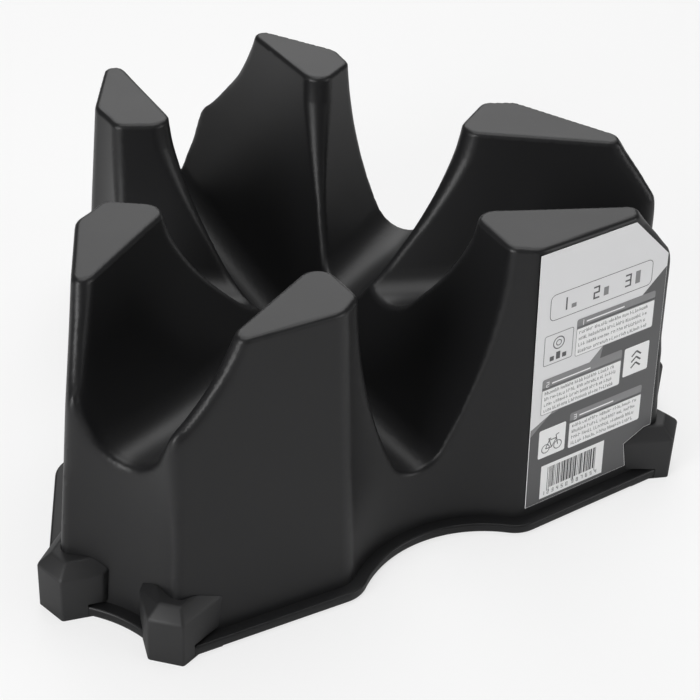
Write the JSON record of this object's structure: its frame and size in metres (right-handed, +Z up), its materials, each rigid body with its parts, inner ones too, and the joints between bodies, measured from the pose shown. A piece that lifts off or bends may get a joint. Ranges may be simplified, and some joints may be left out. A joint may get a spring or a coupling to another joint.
{
  "type": "wheel riser block",
  "caption": "Moulded front wheel riser block for an indoor bicycle trainer, with tyre cradles at different heights and rubber grips.",
  "frame": {"origin": "centre of the block on the ground", "axes": "+Z up; -Y is the side with the label; the low cradle runs along Y, the middle one at 30 degrees and the high one at 150 degrees from +X"},
  "size_m": [0.3144, 0.2775, 0.137],
  "materials": {
    "shell_plastic": "satin",
    "grip_rubber": "matte",
    "label_film": "satin"
  },
  "bodies": {
    "root": {"tower_left": "shell_plastic", "tower_front_left": "shell_plastic", "tower_front_right": "shell_plastic", "tower_right": "shell_plastic", "tower_back_right": "shell_plastic", "tower_back_left": "shell_plastic", "grip_left": "grip_rubber", "grip_right": "grip_rubber", "grip_back": "grip_rubber", "label": "label_film"}
  },
  "joints": []
}
